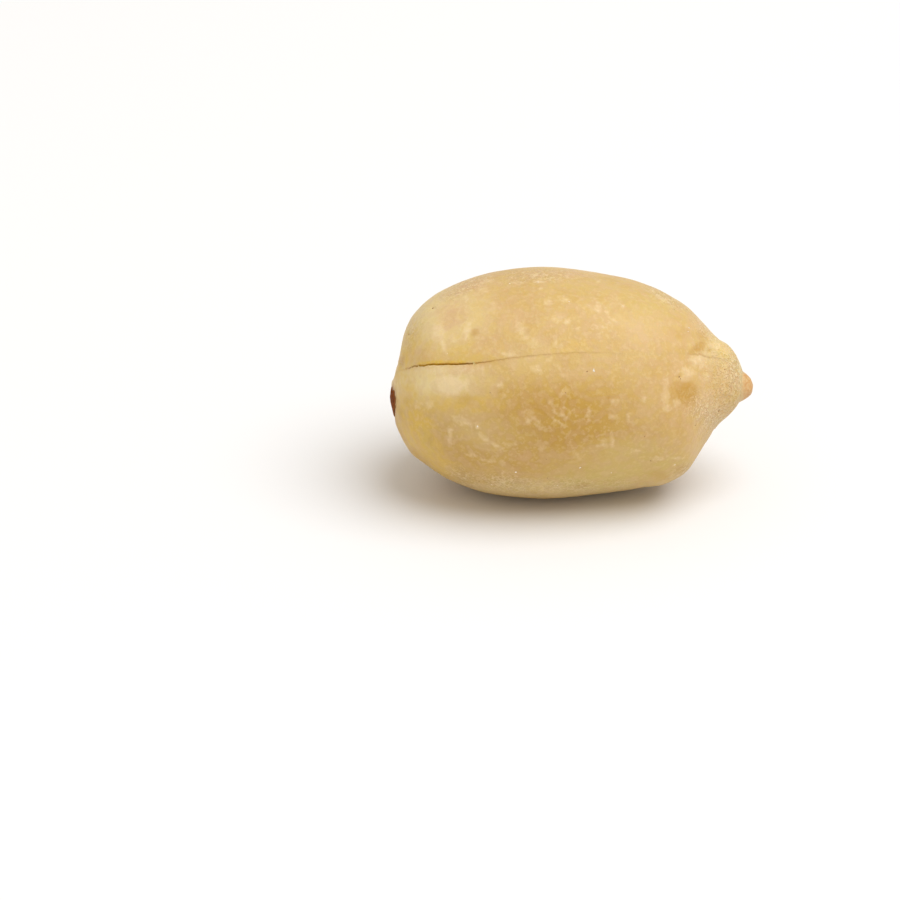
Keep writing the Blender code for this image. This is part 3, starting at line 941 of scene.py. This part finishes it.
def germ_points(data, growth):
    """The germ, or with growth the room that it takes up in both halves."""
    directions = directions_of(data)
    first = GERM_INNER_END - growth
    last = GERM_TIP + growth
    x = (first + last) / 2 + directions[:, 0] * (last - first) / 2
    own = rounded_profile(x, GERM_SECTIONS, GERM_RADIUS, GERM_INNER_END, GERM_TIP)
    beyond = (x < GERM_INNER_END) | (x > GERM_TIP)
    radius = np.where(beyond, 0.0, own) + growth * end_round(x, first, last)
    across = np.maximum(np.hypot(directions[:, 1], directions[:, 2]), TINY)
    places, _, middles = np.array(GERM_SECTIONS).T
    y = radius * directions[:, 1] / across
    z = radius * directions[:, 2] / across + smooth_curve(x, places, middles)
    return np.stack([x, y, z], axis=1)


def find_place():
    """Where the kernel's own frame sits in the CAD frame, from the germ's high corner."""
    data = cut_cube(GERM_CUTS)
    own = rolled(germ_points(data, 0.0))
    bpy.data.meshes.remove(data)
    high_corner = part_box("germ")[1]
    return np.array(high_corner[:]) - own.max(axis=0)


PLACE = find_place()


class Wire:
    """A node's output. Arithmetic on it adds Math nodes to its finish."""

    def __init__(self, finish, socket):
        self.finish = finish
        self.socket = socket

    def maths(self, operation, *values):
        inputs = dict(enumerate(values))
        return self.finish.add("ShaderNodeMath", {"operation": operation}, inputs)

    def __add__(self, other):
        return self.maths("ADD", self, other)

    def __sub__(self, other):
        return self.maths("SUBTRACT", self, other)

    def __rsub__(self, other):
        return self.maths("SUBTRACT", other, self)

    def __mul__(self, other):
        return self.maths("MULTIPLY", self, other)

    def clamp(self):
        return self.maths("MINIMUM", self.maths("MAXIMUM", self, 0.0), 1.0)

    __radd__ = __add__
    __rmul__ = __mul__


class Finish:
    """A material under construction. Its pattern coordinates are the kernel's own millimetres."""

    def __init__(self, name, roughness):
        self.material = bpy.data.materials.new(name)
        self.material.use_nodes = True
        self.tree = self.material.node_tree
        self.shader = self.tree.nodes["Principled BSDF"]
        self.shader.inputs["Roughness"].default_value = roughness
        turned_back = Matrix.Rotation(-ROLL, 3, "X") @ Vector(PLACE)
        inputs = {
            "Vector": self.add("ShaderNodeTexCoord", output="Object"),
            "Location": turned_back * -MM,
            "Rotation": (-ROLL, 0.0, 0.0),
            "Scale": (MM, MM, MM),
        }
        self.at = self.add("ShaderNodeMapping", None, inputs)

    def add(self, kind, settings=None, inputs=None, output=0):
        node = self.tree.nodes.new(kind)
        for name, value in (settings or {}).items():
            setattr(node, name, value)
        for name, value in (inputs or {}).items():
            self.feed(node.inputs[name], value)
        return Wire(self, node.outputs[output])

    def feed(self, socket, value):
        if isinstance(value, Wire):
            self.tree.links.new(value.socket, socket)
        else:
            socket.default_value = value

    def set(self, name, value):
        self.feed(self.shader.inputs[name], value)

    def noise(self, size, detail=2.0, distortion=0.0, stretch=1.0):
        """Noise around 0.5 with features of about that size in millimetres, stretched along the kernel."""
        at = self.at
        if stretch != 1.0:
            at = self.add("ShaderNodeMapping", None, {"Vector": at, "Scale": (1 / stretch, 1, 1)})
        inputs = {"Vector": at, "Scale": 1.0 / size, "Detail": detail, "Distortion": distortion}
        return self.add("ShaderNodeTexNoise", None, inputs)

    def lively(self, size, detail=2.0):
        """Noise that swings over the whole way from 0 to 1."""
        return self.step(self.noise(size, detail), *NOISE_SPAN)

    def step(self, value, low, high):
        """0 below low, 1 above high and a smooth step between."""
        inputs = {"Value": value, "From Min": low, "From Max": high}
        return self.add("ShaderNodeMapRange", {"interpolation_type": "SMOOTHSTEP"}, inputs)

    def mark(self, name):
        """A mark painted on the mesh, from 0 to 1."""
        return self.add("ShaderNodeAttribute", {"attribute_name": name}, output="Fac")

    def mix(self, amount, first, second):
        """The first colour with the amount of the second laid over it, by the node's colour sockets."""
        settings = {"data_type": "RGBA", "blend_type": "MIX", "clamp_factor": True}
        return self.add("ShaderNodeMix", settings, {0: amount, 6: first, 7: second}, output=2)

    def shade(self, colour, amount):
        """The colour made lighter or darker by the amount, where 1 leaves it as it is."""
        inputs = {0: colour, "Scale": amount}
        return self.add("ShaderNodeVectorMath", {"operation": "SCALE"}, inputs)

    def bump(self, height_mm):
        inputs = {"Height": height_mm, "Distance": METRES, "Strength": 1.0}
        self.set("Normal", self.add("ShaderNodeBump", None, inputs))

    def glow_through(self, weight, depth_mm, reach):
        """Light that enters the flesh and comes out again close by, by how far each colour reaches."""
        self.shader.inputs["Subsurface Weight"].default_value = weight
        self.shader.inputs["Subsurface Radius"].default_value = reach
        self.shader.inputs["Subsurface Scale"].default_value = depth_mm * METRES


def screen_colour(red, green, blue):
    """A colour given as it looks on a screen, from 0 to 255, as linear light."""
    linear = []
    for part in (red / 255, green / 255, blue / 255):
        linear.append(part / 12.92 if part <= 0.04045 else ((part + 0.055) / 1.055) ** 2.4)
    return (*linear, 1.0)


FLESH = screen_colour(203, 171, 112)
WARM_AND_SHADED_FLESH = screen_colour(185, 145, 67)
PALE_FLESH = screen_colour(235, 211, 168)
BLEACHED_AND_LIT_FLESH = screen_colour(232, 212, 158)
AMBER_FLESH = screen_colour(186, 143, 64)
GREEN_FLESH = screen_colour(216, 179, 78)
OLIVE_FLESH = screen_colour(200, 175, 100)
PINK_FLESH = screen_colour(210, 171, 127)
INSIDE_FLESH = screen_colour(236, 200, 76)
FROST_AND_PAINTED_LIGHT = screen_colour(236, 216, 170)
SEAM_SHADE_BROWN = screen_colour(170, 114, 26)
RESIDUE_BROWN = screen_colour(160, 98, 54)
GERM_ORANGE = screen_colour(198, 149, 90)
GERM_PALE = screen_colour(207, 172, 118)
GERM_COLLAR = screen_colour(206, 176, 126)
SKIN_RED = screen_colour(132, 70, 26)
SKIN_DARK = screen_colour(96, 44, 14)
SKIN_EDGE = screen_colour(160, 104, 56)
SPECK_BROWN = screen_colour(160, 116, 64)
GRAIN_WHITE = screen_colour(250, 243, 224)

# How far red, green and blue light reaches in the flesh and in a dried grain, and what most noise stays in
FLESH_GLOW = (1.0, 0.6, 0.25)
GRAIN_GLOW = (1.0, 0.9, 0.7)
NOISE_SPAN = (0.32, 0.68)


def flesh_tints(finish, small):
    """The colours laid over plain flesh, the lowest first, each with how much of it there is."""
    broad = finish.lively(1.6)
    blotch = finish.lively(0.60)
    hue = finish.lively(0.36, detail=0.5)
    amber = finish.mark("amber") * 1.1 + small * 0.2 - 0.2
    pale = finish.mark("pale") + small * 0.2 - 0.2
    flakes = finish.step(small, 0.5, 1.0) * (broad * 0.08 + 0.08)
    return (
        # Warm tone, with painted shade on the lower middle and the underside, and painted bounce light at
        # the lower left end
        (finish.mark("warm_and_shade") + broad * 0.20 + blotch * 0.10, WARM_AND_SHADED_FLESH),
        # Pale bleached tone, partly painted light at the left end
        (finish.mark("bleached_and_lit") * 0.8, BLEACHED_AND_LIT_FLESH),
        # Green-yellow tone, with the painted glow of bounced light on the crack's upper lip
        (finish.mark("green") * 0.95 + finish.step(hue, 0.3, 1.0) * 0.16, GREEN_FLESH),
        (finish.mark("olive") * 0.9, OLIVE_FLESH),
        (finish.mark("pink") * 0.70 + finish.step(hue, 0.7, 0.0) * 0.24, PINK_FLESH),
        (amber.clamp() * 0.75 + finish.step(blotch, 0.6, 1.0) * 0.10, AMBER_FLESH),
        # Pale marks, partly painted glints, with the painted highlight on the crack's lower lip
        (pale.clamp() * 0.58 + flakes, PALE_FLESH),
        (finish.mark("inside"), INSIDE_FLESH),
        # The painted shade along the seam's gap, in brown
        (finish.mark("seam") * (0.6 + small * 0.8), SEAM_SHADE_BROWN),
    )


def flesh_finish(name):
    """Dry roasted flesh: a waxy golden ground, mottled pale, amber, pink and green, with a fine grain."""
    finish = Finish(name, roughness=0.5)
    small = finish.lively(0.17)
    fine = finish.noise(0.07)
    squiggle = finish.step(finish.noise(0.15, distortion=1.4), 0.46, 0.60)
    streak = finish.step(finish.noise(0.09, detail=1.0, stretch=6.0), 0.40, 0.60)
    rough = finish.mark("rough")
    # The pale crust on the rough ridges is partly painted sheen, and the troughs between them are darkened
    # as painted shade.
    crust_and_sheen = rough * squiggle
    trough_shade = rough * (1.0 - squiggle)
    folds = finish.mark("folds") * streak
    ground = FLESH
    for amount, colour in flesh_tints(finish, small):
        ground = finish.mix(amount, ground, colour)
    # The collar round the root tip is lightened here as painted light over the crease's shade.
    ground = finish.mix(crust_and_sheen * 0.50 + folds * 0.22 + finish.mark("collar") * 0.3, ground, FROST_AND_PAINTED_LIGHT)
    ground = finish.mix(finish.mark("residue"), ground, RESIDUE_BROWN)
    finish.set("Base Color", finish.shade(ground, 0.95 + fine * 0.10 - trough_shade * 0.07))
    finish.set("Roughness", 0.40 + small * 0.12)
    finish.bump(fine * 0.006 + small * 0.005 + crust_and_sheen * 0.014 + folds * 0.022)
    finish.glow_through(0.12, 0.3, FLESH_GLOW)
    finish.set("Specular IOR Level", 0.35)
    return finish.material


def germ_finish():
    """The root tip: pale, wrinkled flesh toasted orange-brown."""
    finish = Finish("root_tip_flesh", roughness=0.5)
    patches = finish.noise(0.12, detail=3.0, distortion=0.6)
    fine = finish.noise(0.06, detail=3.0)
    ground = finish.mix(finish.step(patches, 0.40, 0.66), GERM_ORANGE, GERM_PALE)
    # The collar is lightened as painted light over the shade of the crease where the germ leaves the
    # halves.
    ground = finish.mix(finish.mark("collar"), ground, GERM_COLLAR)
    finish.set("Base Color", finish.shade(ground, 0.9 + fine * 0.2))
    finish.set("Roughness", 0.40 + fine * 0.2)
    finish.bump(fine * 0.010 + patches * 0.02)
    finish.glow_through(0.12, 0.3, FLESH_GLOW)
    return finish.material


def skin_finish():
    """Papery seed skin, dark red-brown with fine darker veins."""
    finish = Finish("papery_skin", roughness=0.7)
    veins = finish.noise(0.22, detail=4.0, distortion=2.0)
    fine = finish.noise(0.04)
    ground = finish.mix(finish.step(veins, 0.30, 0.60), SKIN_DARK, SKIN_RED)
    ground = finish.mix(finish.mark("edge") * 0.6, ground, SKIN_EDGE)
    finish.set("Base Color", finish.shade(ground, 0.85 + fine * 0.3))
    finish.set("Roughness", 0.6 + fine * 0.2)
    finish.set("Specular IOR Level", 0.06)
    finish.bump(veins * 0.016 + fine * 0.005)
    return finish.material


def grain_finish():
    """Dried grains of flesh, nearly white."""
    finish = Finish("dried_grains", roughness=0.4)
    tone = finish.step(finish.noise(0.3), 0.4, 0.6)
    finish.set("Base Color", finish.mix(tone, PALE_FLESH, GRAIN_WHITE))
    finish.bump(finish.noise(0.03) * 0.006)
    finish.glow_through(0.3, 0.2, GRAIN_GLOW)
    return finish.material


def speck_finish():
    """Dark specks of skin."""
    finish = Finish("dark_specks", roughness=0.6)
    tone = finish.noise(0.05, detail=1.0)
    finish.set("Base Color", finish.mix(finish.step(tone, 0.3, 0.6), SKIN_RED, SPECK_BROWN))
    finish.bump(tone * 0.006)
    return finish.material


def thread_finish():
    """Torn threads of flesh, a little greenish."""
    finish = Finish("torn_flesh", roughness=0.5)
    tone = finish.noise(0.06)
    finish.set("Base Color", finish.mix(tone, PALE_FLESH, GREEN_FLESH))
    finish.bump(tone * 0.006)
    finish.glow_through(0.3, 0.2, FLESH_GLOW)
    return finish.material


def spot(points, row, ragged, turned=0.0):
    """How strongly one mark covers the points, with a soft ragged edge. Thin marks are the cleaner ones."""
    place_along, place_up, length, narrow, turn, strength = row
    breadth = max(narrow, FINEST_MARK)
    u, v, towards = seen_from(points, turned)
    du = u - place_along
    dv = v - place_up
    cosine = math.cos(math.radians(turn))
    sine = math.sin(math.radians(turn))
    reach = np.hypot((du * cosine + dv * sine) / length, (dv * cosine - du * sine) / breadth)
    reach += ragged * (MARK_RAGGED + BROAD_RAGGED * ease(breadth, FINEST_MARK, BROAD_MARK))
    shown = ease(towards, BEHIND_OUTLINE - length, BEFORE_OUTLINE)
    return strength * (1 - ease(reach, *MARK_FADES)) * shown


def mark_layer(points, rows, ragged, seed):
    """The rows' marks on the near side, and marks of the same kinds strewn over the far side."""
    draw = random.Random(seed)
    layer = np.zeros(len(points))
    for row in rows:
        layer = np.maximum(layer, spot(points, row, ragged))
    for _, _, length, narrow, turn, strength in rows:
        place_along = draw.uniform(*FAR_PLACES)
        tilted = turn + draw.uniform(-FAR_TILT, FAR_TILT)
        strewn = (place_along, 0.0, length, narrow, tilted, min(strength, STRONGEST_FAR_MARK))
        layer = np.maximum(layer, spot(points, strewn, ragged, turned=draw.uniform(*FAR_TURNS)))
    return layer


def path_distance(u, v, path):
    """The distance from each place to a path of straight stretches."""
    nearest = np.full(len(u), np.inf)
    for (u0, v0), (u1, v1) in zip(path, path[1:]):
        du = u1 - u0
        dv = v1 - v0
        t = np.clip(((u - u0) * du + (v - v0) * dv) / (du * du + dv * dv), 0, 1)
        nearest = np.minimum(nearest, np.hypot(u - u0 - t * du, v - v0 - t * dv))
    return nearest


def crease_depth(points, ragged):
    """How deep the creases and pits of the near side are."""
    u, v, towards = seen_from(points)
    ragged_u = u + CREASE_RAGGED[0] * ragged
    ragged_v = v + CREASE_RAGGED[1] * ragged
    depth = np.zeros(len(points))
    for breadth, deep, path in CREASES:
        reach = path_distance(ragged_u, ragged_v, path) / breadth
        depth = np.maximum(depth, deep * (1 - ease(reach, 0, CREASE_FADES)))
    for place_along, place_up, radius, deep in PITS:
        reach = np.hypot(u - place_along, v - place_up) / radius
        depth = np.maximum(depth, deep * (1 - ease(reach + PIT_RAGGED * ragged, 0, PIT_FADES)))
    return depth * ease(towards, *NEAR_SIDE)


def drawn_out(points, pace):
    """Places for a pattern of folds that run along the kernel. A low pace makes them long."""
    around = np.arctan2(points[:, 2], points[:, 1])
    return np.stack([np.cos(around), np.sin(around), points[:, 0] * pace], axis=1)


def tip_wrinkles(points):
    """Fine folds that run along the pointed end and gather at the root tip."""
    return relief(drawn_out(points, TIP_FOLD_PACE), TIP_FOLDS) * ease(points[:, 0], *TIP_FOLDS_BEGIN)


def broad_relief(points):
    """The soft unevenness of the flesh, in millimetres."""
    return relief(points, SOFT_SWELLS) + relief(points, SMALL_SWELLS)


def crack_lip_light(points, ragged):
    """How strongly the open crack's lips are painted with light at the points: a glow of bounced light on
    the upper lip and a highlight on the lower.
    """
    x = points[:, 0]
    near_side = np.where(points[:, 1] < 0, 1.0, FAR_SEAM_SHARE)
    open_crack = ease(lip_value(x, GAP), *OPEN_GAP) * near_side * ease(-x, *CRACK_BEGINS)
    return open_crack * (1 - ease(from_seam(points) + LIP_LIGHT_RAGGED * ragged, *LIP_LIGHT_FADES))


def residue_ring(points, ragged):
    """How strongly the thin ring round the scrap of skin shows at the points."""
    across = (points[:, 1] - SCRAP_SIDE) / SCRAP_WIDTH
    from_scrap = 2 * np.hypot(across, (points[:, 2] + SCRAP_DROP) / SCRAP_HEIGHT)
    ring = RESIDUE * (1 - ease(from_scrap + RESIDUE_RAGGED * ragged, *RESIDUE_FADES))
    return ring * ease(-points[:, 0], *RESIDUE_BEGINS)


def flesh_marks(points, inside, ragged, upward):
    """The marks painted on one half, by name."""
    x = points[:, 0]
    marks = {name: mark_layer(points, rows, edge * ragged, seed) for name, rows, seed, edge in MARK_LAYERS}
    marks["folds"] = ease(x, *FOLDS_BEGIN)
    # The collar is painted light over the shade of the crease round the root tip.
    marks["collar"] = ease(x + COLLAR_RAGGED * ragged, *FLESH_COLLAR)
    lip_light = crack_lip_light(points, ragged)
    # The crack's upper lip is painted with a green-yellow glow of bounced light, and the lower lip with a
    # pale painted highlight.
    if upward > 0:
        marks["green"] = np.maximum(marks["green"], UPPER_LIP_GLOW * lip_light)
        marks["pale"] *= 1 - lip_light
    else:
        marks["pale"] = np.maximum(marks["pale"], LOWER_LIP_HIGHLIGHT * lip_light)
    marks["inside"] = ease(inside, 0.0, INSIDE_BEGINS)
    # Flesh that faces down is painted darker and warmer: painted shade on the underside.
    underside_shade = UNDERSIDE_SHADE * ease(-upwards(points), *UNDERSIDE_BEGINS)
    marks["warm_and_shade"] = np.maximum(marks["warm_and_shade"], underside_shade)
    # A brown line painted along the seam: the shade of its narrow gap.
    marks["seam"] = lip_value(x, SEAM_SHADE) * (1 - ease(from_seam(points), 0.0, SEAM_SHADE_REACH))
    marks["residue"] = residue_ring(points, ragged)
    return marks


def flesh_height(points, inside, ragged, marks, upward):
    """How far one half's flesh stands out from the smooth form, in millimetres."""
    height = broad_relief(points)
    height += relief(points, CRUST) * marks["rough"]
    height += TIP_FOLD_HEIGHT * tip_wrinkles(points)
    height += PALE_RELIEF * marks["pale"] - AMBER_RELIEF * marks["amber"]
    height -= crease_depth(points, ragged)
    if upward > 0:
        foot = LOBE_AT_SEAM + (1 - LOBE_AT_SEAM) * ease(from_seam(points), 0.0, LOBE_REACH)
        height += LOBE_HEIGHT * spot(points, LOBE, LOBE_RAGGED * ragged) * foot
    return height * np.exp(-inside / RELIEF_FADES)


def cut_seat(piece):
    """Cuts the germ's seat from a half, and keeps the result as the piece's mesh."""
    data = cut_cube(SEAT_CUTS)
    mesh_from(data, to_frame(germ_points(data, GERM_CLEARANCE)))
    cutter = add_object("germ_seat", data)
    seat = piece.modifiers.new("seat", "BOOLEAN")
    seat.operation = "DIFFERENCE"
    seat.solver = "EXACT"
    seat.object = cutter
    graph = bpy.context.evaluated_depsgraph_get()
    cut_mesh = bpy.data.meshes.new_from_object(piece.evaluated_get(graph))
    piece.modifiers.clear()
    piece.data = cut_mesh
    bpy.data.objects.remove(cutter)


def seed_half(name, node, upward, finish):
    """Adds one seed half, and gives back the points of its outside."""
    data = cut_cube(HALF_CUTS)
    points, inside = half_surface(rim_directions(data, upward), upward)
    ragged = relief(points, RAGGED_EDGES)
    marks = flesh_marks(points, inside, ragged, upward)
    height = flesh_height(points, inside, ragged, marks, upward)
    shaped = points + facing(points) * height[:, None]
    mesh_from(data, on_floor(shaped))
    for mark_name, values in marks.items():
        paint(data, mark_name, values)
    piece = add_piece(name, data, node, finish)
    cut_seat(piece)
    piece.data.set_sharp_from_angle(angle=SHARP_ANGLE)
    return shaped[inside == 0]


def germ_piece():
    """Adds the germ, with fine folds and grain on the part that shows."""
    data = cut_cube(GERM_CUTS)
    points = germ_points(data, 0.0)
    x = points[:, 0]
    height = relief(drawn_out(points, GERM_FOLD_PACE), GERM_FOLDS) + relief(points, GERM_GRAIN)
    outward = points - np.array([0.0, 0.0, GERM_SECTIONS[-1][2]])
    outward[:, 0] = np.clip(x - GERM_HIDDEN, 0, None)
    shown = ease(x, GERM_HIDDEN, GERM_SHOWN)
    mesh_from(data, to_frame(points + unit(outward) * (height * shown)[:, None]))
    paint(data, "collar", 1 - ease(x + relief(points, COLLAR_WAVES), *ROOT_COLLAR))
    add_piece("root_tip", data, "germ", germ_finish())


def blunt_end_place(y, z):
    """Where along the blunt end the surface reaches this far to the side and up, found by halving."""
    low = np.full(len(y), NOSE)
    high = np.full(len(y), BLUNT_MIDDLE)
    for _ in range(HALVINGS):
        middle = (low + high) / 2
        too_far_out = (y / half_size(middle, WIDTH)) ** 2 + (z / half_height(middle, z > 0)) ** 2 > 1
        low = np.where(too_far_out, middle, low)
        high = np.where(too_far_out, high, middle)
    return (low + high) / 2


def blunt_end_points(y, z):
    """Points on the blunt end's surface, this far to the side and up."""
    x = blunt_end_place(y, z)
    angle = np.arctan2(z / half_height(x, z > 0), np.abs(y) / half_size(x, WIDTH))
    return outside(x, angle, np.where(y > 0, 1.0, -1.0))


def torn_reach(disc):
    """How far the scrap reaches in each direction, as a share: wavy, toothed and torn."""
    turn = np.arctan2(disc[:, 1], disc[:, 0])
    edge = np.stack([np.cos(turn), np.sin(turn), np.zeros(len(turn))], axis=1)
    reach = 1 + relief(edge, SCRAP_WAVES) + relief(edge, SCRAP_TEETH)
    for angle, breadth, depth in SCRAP_TEARS:
        turned = (turn - math.radians(angle) + math.pi) % math.tau - math.pi
        reach -= depth * np.exp(-((turned / breadth) ** 2))
    return reach


def scrap_lift(skin, from_middle, top):
    """How far the scrap stands off: it swells in the middle, curls up at the edge and is wrinkled."""
    swell = SCRAP_SWELL * (1 - from_middle**2)
    curl = SCRAP_CURL * from_middle**4 * np.clip(relief(skin, SCRAP_CURLS), 0, 1)
    bulge = np.maximum(swell + curl + relief(skin, SCRAP_WRINKLES), 0)
    return SCRAP_GAP + bulge + SCRAP_THICKNESS * np.clip(top, 0, 1) + broad_relief(skin)


def skin_piece():
    """Adds the thin papery scrap that follows the blunt end's surface."""
    data = cut_cube(SCRAP_CUTS)
    disc = directions_of(data)
    reach = torn_reach(disc)
    y = SCRAP_SIDE + disc[:, 0] * reach * SCRAP_WIDTH / 2
    z = -SCRAP_DROP + disc[:, 1] * reach * SCRAP_HEIGHT / 2
    skin = blunt_end_points(y, z)
    from_middle = np.hypot(disc[:, 0], disc[:, 1])
    lift = scrap_lift(skin, from_middle, disc[:, 2])
    mesh_from(data, to_frame(skin + facing(skin) * lift[:, None]))
    paint(data, "edge", ease(from_middle, *SCRAP_PALE_EDGE))
    add_piece("skin_flake", data, "skin_scrap", skin_finish())


def nearest_point(points, place_along, place_up):
    """The point of the near side that is seen nearest to that place."""
    u, v, towards = seen_from(points)
    distance = np.where(towards < 0, np.inf, np.hypot(u - place_along, v - place_up))
    return points[np.argmin(distance)]


def add_speck(mesh, at, radius, draw):
    """One small lumpy ball, pressed flat against the flesh."""
    outward = Vector(facing(at[None, :])[0])
    turned = outward.to_track_quat("Z", "Y").to_matrix().to_4x4()
    spun = Matrix.Rotation(draw.uniform(0, math.tau), 4, "Z")
    narrow = radius * draw.uniform(*SPECK_NARROWNESS)
    shape = Matrix.Diagonal((radius, narrow, radius * SPECK_FLATNESS, 1.0))
    height, pace, shift = SPECK_LUMPS
    made = bmesh.ops.create_icosphere(mesh, subdivisions=2, radius=1.0)
    for vertex in made["verts"]:
        vertex.co *= 1 + height * noise.noise(vertex.co * pace + Vector(at) * shift)
    matrix = Matrix.Translation(Vector(at)) @ turned @ spun @ shape
    bmesh.ops.transform(mesh, matrix=matrix, verts=made["verts"])


def specks_piece(name, points, rows, far_count, finish):
    """Adds specks at named places on the near side and at random ones on the far side."""
    draw = random.Random(name)
    mesh = bmesh.new()
    for place_along, place_up, radius in rows:
        add_speck(mesh, nearest_point(points, place_along, place_up), radius, draw)
    far = points[seen_from(points)[2] < FAR_SIDE]
    for _ in range(far_count):
        at = far[draw.randrange(len(far))]
        add_speck(mesh, at, draw.uniform(*FAR_SPECK_RADII), draw)
    data = mesh_data(mesh, name)
    data.shade_smooth()
    write_points(data, on_floor(read_points(data)))
    add_piece(name, data, None, finish)


def shreds_piece(finish):
    """Adds threads of torn flesh that stand on the lower lip and lean over the crack."""
    mesh = bmesh.new()
    for place_along, length, lean in SHREDS:
        x = np.array([place_along])
        foot = outside(x, seam_angle(x), np.array([-1.0]))[0]
        foot[1] -= SHRED_INSIDE
        foot[2] -= lip_value(x, GAP)[0] + SHRED_SUNK
        made = bmesh.ops.create_cone(
            mesh, segments=7, radius1=SHRED_RADIUS, radius2=SHRED_RADIUS / 3, depth=length, cap_ends=True
        )
        for vertex in made["verts"]:
            vertex.co.z += length / 2
            vertex.co.x += lean * vertex.co.z
            vertex.co += Vector(foot)
    data = mesh_data(mesh, "shreds")
    mesh_from(data, to_frame(read_points(data)))
    add_piece("torn_threads", data, None, finish)


def add_floor():
    mesh = bmesh.new()
    bmesh.ops.create_grid(mesh, x_segments=1, y_segments=1, size=FLOOR_REACH)
    data = mesh_data(mesh, "floor")
    floor = add_object("floor", data)
    floor.location.z = -FLOOR_DROP
    surface = bpy.data.materials.new("floor_white")
    surface.use_nodes = True
    shader = surface.node_tree.nodes["Principled BSDF"]
    shader.inputs["Base Color"].default_value = FLOOR_COLOUR
    shader.inputs["Roughness"].default_value = FLOOR_ROUGHNESS
    shader.inputs["Specular IOR Level"].default_value = FLOOR_GLOSS
    data.materials.append(surface)


def add_lamp():
    lamp = bpy.data.lights.new("broad_lamp", "AREA")
    lamp.shape = "DISK"
    lamp.size = LAMP_WIDTH
    lamp.energy = LAMP_POWER
    lamp.color = LAMP_COLOUR
    item = add_object("broad_lamp", lamp)
    item.location = LAMP_PLACE
    item.rotation_euler = (-Vector(LAMP_PLACE)).to_track_quat("-Z", "Y").to_euler()


def add_room():
    world = bpy.data.worlds.new("studio")
    bpy.context.scene.world = world
    world.use_nodes = True
    background = world.node_tree.nodes["Background"]
    background.inputs["Color"].default_value = ROOM_COLOUR
    background.inputs["Strength"].default_value = ROOM_LIGHT
    bpy.context.scene.view_settings.view_transform = "Standard"


def add_camera():
    """A long lens, so the kernel is seen nearly square on, framed as in the photograph."""
    right = Vector((1, 0, 0))
    up = Vector((0, math.sin(LOOK_DOWN), math.cos(LOOK_DOWN)))
    towards = Vector((0, -math.cos(LOOK_DOWN), math.sin(LOOK_DOWN)))
    centre = Vector(PLACE) + right * VIEW_CENTRE_ALONG * METRES + up * VIEW_CENTRE_UP * METRES
    lens = bpy.data.cameras.new("camera")
    lens.sensor_width = SENSOR_WIDTH
    lens.lens = SENSOR_WIDTH * CAMERA_DISTANCE / VIEW_WIDTH
    lens.clip_start = NEAREST_SEEN
    lens.clip_end = FARTHEST_SEEN
    camera = add_object("camera", lens)
    camera.location = centre + towards * CAMERA_DISTANCE
    camera.rotation_euler = (-towards).to_track_quat("-Z", "Y").to_euler()
    bpy.context.scene.camera = camera


def build():
    upper = seed_half("kernel_upper", "seed_half_upper", 1, flesh_finish("upper_flesh"))
    lower = seed_half("kernel_lower", "seed_half_lower", -1, flesh_finish("lower_flesh"))
    germ_piece()
    skin_piece()
    outside_points = np.concatenate([upper, lower])
    specks_piece("pale_grains", outside_points, GRAINS, FAR_GRAINS, grain_finish())
    specks_piece("skin_specks", outside_points, SKIN_SPECKS, FAR_SKIN_SPECKS, speck_finish())
    shreds_piece(thread_finish())
    add_floor()
    add_room()
    add_lamp()
    add_camera()


build()
